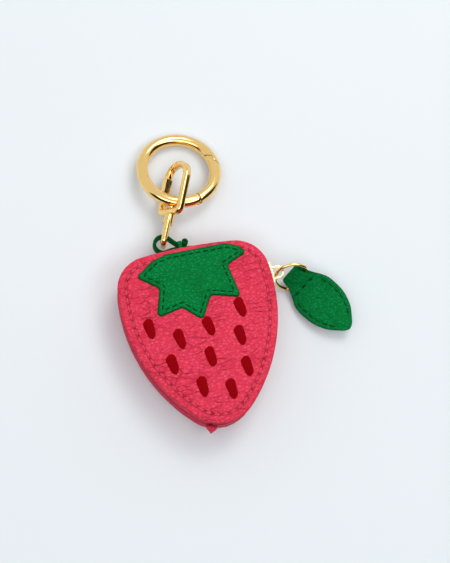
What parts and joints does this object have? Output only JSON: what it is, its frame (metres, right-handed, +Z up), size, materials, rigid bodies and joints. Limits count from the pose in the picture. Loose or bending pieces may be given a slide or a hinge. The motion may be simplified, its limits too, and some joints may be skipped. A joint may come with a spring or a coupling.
{
  "type": "strawberry zip pouch keychain",
  "caption": "Strawberry-shaped leather coin pouch with a side zip, leaf zip pull, strap loop, swivel snap hook and spring-gate key ring.",
  "frame": {"origin": "middle of the bottom of the overall box, with the pouch lying on its back panel", "axes": "+Z up through the pouch from back panel to front panel, +Y along the strawberry from its tip to its leafy top and on to the key ring, +X towards the zip side"},
  "size_m": [0.0934, 0.1278, 0.019],
  "materials": {
    "pink_leather": "pebbled, semi-matt",
    "green_leather": "pebbled, painted edges",
    "lining_fabric": "plain weave",
    "zip_tape": "herringbone tape",
    "zip_coil": "nylon coil",
    "seed_thread": "satin stitch",
    "gold_plate": "polished gold plate",
    "spring_steel": "spring wire"
  },
  "bodies": {
    "back_half": {"back_panel": "pink_leather", "back_gusset": "pink_leather", "back_lining": "lining_fabric", "gusset_fold_back": "pink_leather", "zip_tape_back": "zip_tape", "zip_coil_back": "zip_coil", "zip_end_tab": "pink_leather", "strap_loop": "green_leather", "strap_keeper": "green_leather"},
    "front_half": {"front_panel": "pink_leather", "front_gusset": "pink_leather", "front_lining": "lining_fabric", "gusset_fold_front": "pink_leather", "zip_tape_front": "zip_tape", "zip_coil_front": "zip_coil", "calyx": "green_leather", "embroidered_seeds": "seed_thread"},
    "zip_slider": {"zip_slider": "gold_plate"},
    "pull_ring": {"pull_ring": "gold_plate"},
    "leaf_tab": {"leaf_neck": "green_leather", "leaf_front": "green_leather", "leaf_back": "green_leather"},
    "swivel_eye": {"swivel_eye": "gold_plate", "swivel_rivet": "gold_plate"},
    "snap_hook": {"hook_body": "gold_plate", "hook_gate_pin": "gold_plate", "hook_gate_spring": "spring_steel"},
    "hook_gate": {"hook_gate": "gold_plate"},
    "key_ring": {"key_ring_body": "gold_plate", "key_ring_pin": "gold_plate", "key_ring_spring": "spring_steel"},
    "ring_gate": {"key_ring_gate": "gold_plate"}
  },
  "joints": [
    {"name": "front_open", "type": "hinge", "parent": "back_half", "child": "front_half", "pos_m": [-0.04364, -0.03003, 0.0096], "axis": [0.3007, -0.9537, 0], "range_deg": [0, 18]},
    {"name": "zip_slide", "type": "hinge", "parent": "back_half", "child": "zip_slider", "pos_m": [-0.05145, -0.00985, 0.0096], "axis": [0, 0, 1], "range_deg": [-42, 0]},
    {"name": "pull_lift", "type": "hinge", "parent": "zip_slider", "child": "pull_ring", "pos_m": [0.01965, -0.00522, 0.01], "axis": [-0.561, -0.348, -0.7511], "range_deg": [0, 15]},
    {"name": "leaf_swing", "type": "hinge", "parent": "pull_ring", "child": "leaf_tab", "pos_m": [0.02784, -0.0086, 0.00581], "axis": [-0.561, -0.348, -0.7511], "range_deg": [0, 30]},
    {"name": "eye_swing", "type": "hinge", "parent": "back_half", "child": "swivel_eye", "pos_m": [-0.02226, 0.01814, 0.0092], "axis": [0.9158, -0.3982, 0.0523], "range_deg": [-15, 90]},
    {"name": "hook_swivel", "type": "hinge", "parent": "swivel_eye", "child": "snap_hook", "pos_m": [-0.01895, 0.02575, 0.0092], "axis": [0.3987, 0.9171, 0], "continuous": true},
    {"name": "hook_gate_open", "type": "hinge", "parent": "snap_hook", "child": "hook_gate", "pos_m": [-0.01803, 0.0369, 0.00459], "axis": [0.7227, -0.3142, -0.6157], "range_deg": [0, 32], "stiffness_Nm_per_rad": 0.002, "springref_deg": -20.05},
    {"name": "ring_swing", "type": "hinge", "parent": "snap_hook", "child": "key_ring", "pos_m": [-0.01588, 0.03281, 0.0092], "axis": [0.9171, -0.3987, 0], "range_deg": [-30, 60]},
    {"name": "ring_gate_open", "type": "hinge", "parent": "key_ring", "child": "ring_gate", "pos_m": [-0.00572, 0.03202, 0.00844], "axis": [0.0886, 0.2038, 0.975], "range_deg": [0, 25], "stiffness_Nm_per_rad": 0.004, "springref_deg": -20.05}
  ],
  "couplings": [
    {"joint": "front_open", "follows": "zip_slide", "ratio": -0.42857}
  ]
}
